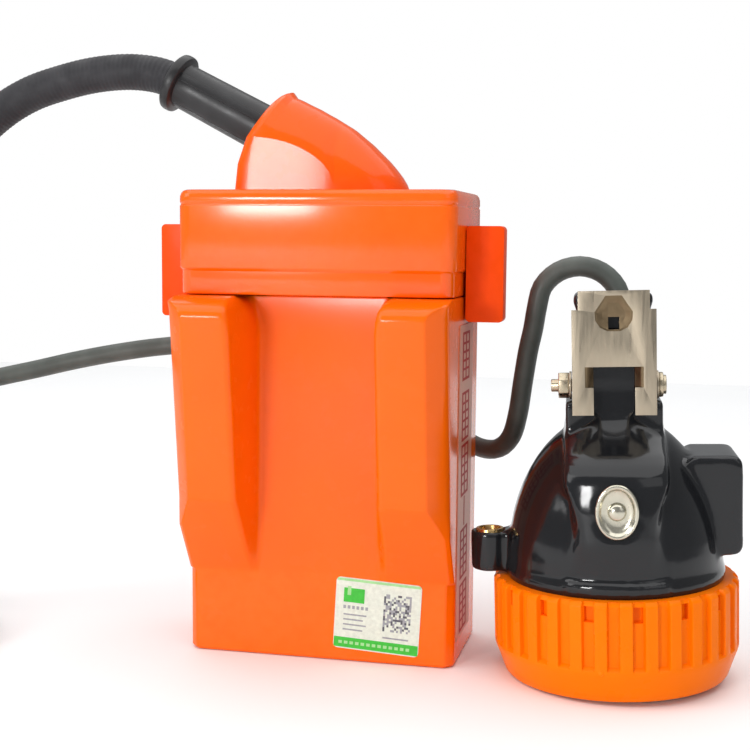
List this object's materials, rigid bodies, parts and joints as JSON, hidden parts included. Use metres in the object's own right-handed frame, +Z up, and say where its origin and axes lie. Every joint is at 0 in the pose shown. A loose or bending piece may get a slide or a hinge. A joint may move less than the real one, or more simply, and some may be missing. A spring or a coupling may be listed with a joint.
{
  "type": "miner cap lamp",
  "caption": "Corded miner's cap lamp: an upright belt battery with a hooded cable outlet and belt loops, a ribbed flexible sleeve and cord, and a domed lamp head standing on its bezel.",
  "frame": {"origin": "centre of the battery case's base, on the surface that the lamp stands on", "axes": "+Z up, the front of the battery case faces -Y, the lamp head stands on the +X side"},
  "size_m": [0.3476, 0.1362, 0.2021],
  "materials": {
    "orange_plastic": "moulded orange polycarbonate, satin to glossy",
    "orange_neck_plastic": "moulded deeper orange, satin",
    "orange_bezel_plastic": "moulded orange, glossy",
    "orange_loop_plastic": "moulded orange-red, satin",
    "black_plastic": "moulded black, glossy",
    "inner_plastic": "moulded black, matte",
    "black_rubber": "black rubber with fine ribs",
    "cord_rubber": "dark grey rubber jacket, matte",
    "seal_rubber": "soft dark rubber",
    "foam": "grey foam",
    "steel": "stainless steel, brushed",
    "plated_steel": "zinc plated steel",
    "polished_steel": "polished stainless steel",
    "nickel": "nickel strip",
    "aluminium": "bare aluminium",
    "mirror_coat": "metallised plastic",
    "brass": "bare brass",
    "clear_lens": "clear polycarbonate",
    "cell_wrap": "shrink wrap",
    "board_green": "circuit board laminate",
    "part_black": "component cases",
    "lead_red": "lead insulation",
    "led_yellow": "LED phosphor and clear domes",
    "board_white": "white metal-core board",
    "button_red": "dark red rubber",
    "label_white": "printed film label",
    "label_clear": "printed film label"
  },
  "bodies": {
    "lamp": {"battery_case": "orange_plastic", "top_cover": "orange_plastic", "cover_gasket": "seal_rubber", "cover_screws": "steel", "cable_neck": "orange_neck_plastic", "neck_boot": "black_rubber", "cable_clamp": "steel", "clamp_screws": "steel", "battery_cells": "cell_wrap", "lower_cell_holder": "inner_plastic", "upper_cell_holder": "inner_plastic", "nickel_tabs": "nickel", "protection_board": "board_green", "board_parts": "part_black", "pack_leads": "lead_red", "foam_pads": "foam", "belt_loop_left": "orange_loop_plastic", "belt_loop_right": "orange_loop_plastic", "belt_loop_screws": "steel", "front_label": "label_white", "side_label": "label_clear", "cable_sleeve": "black_rubber", "cord_drop": "cord_rubber", "cord_coil": "cord_rubber", "coil_tie": "inner_plastic", "cord_run": "cord_rubber", "lamp_shell": "black_plastic", "lens": "clear_lens", "lens_gasket": "seal_rubber", "reflector": "mirror_coat", "led_board": "board_white", "main_led": "led_yellow", "aux_leds": "led_yellow", "heat_sink": "aluminium", "heat_sink_screws": "steel", "hook_bolt": "plated_steel", "hook_nut": "plated_steel", "hook_washers": "steel", "contact_ring": "polished_steel", "contact_stud": "polished_steel", "contact_nut": "steel", "charge_bush": "brass", "charge_pin": "brass", "micro_switch": "part_black", "gland_nut": "black_plastic", "head_strain_relief": "black_rubber", "head_leads": "lead_red"},
    "hook": {"cap_hook": "steel"},
    "bezel": {"bezel_ring": "orange_bezel_plastic"},
    "button": {"switch_button": "button_red"}
  },
  "joints": [
    {"name": "hook_tilt", "type": "hinge", "parent": "lamp", "child": "hook", "pos_m": [0.09463, -0.01912, 0.09477], "axis": [0.9963, 0.0784, 0.0349], "range_deg": [-4, 8]},
    {"name": "bezel_turn", "type": "hinge", "parent": "lamp", "child": "bezel", "pos_m": [0.0971, -0.0089, 0.00123], "axis": [-0.0348, -0.0027, 0.9994], "range_deg": [0, 120]},
    {"name": "switch_press", "type": "slide", "parent": "lamp", "child": "button", "axis": [-0.9963, -0.0784, -0.0349], "range_m": [0, 0.0012], "stiffness_N_per_m": 800}
  ]
}
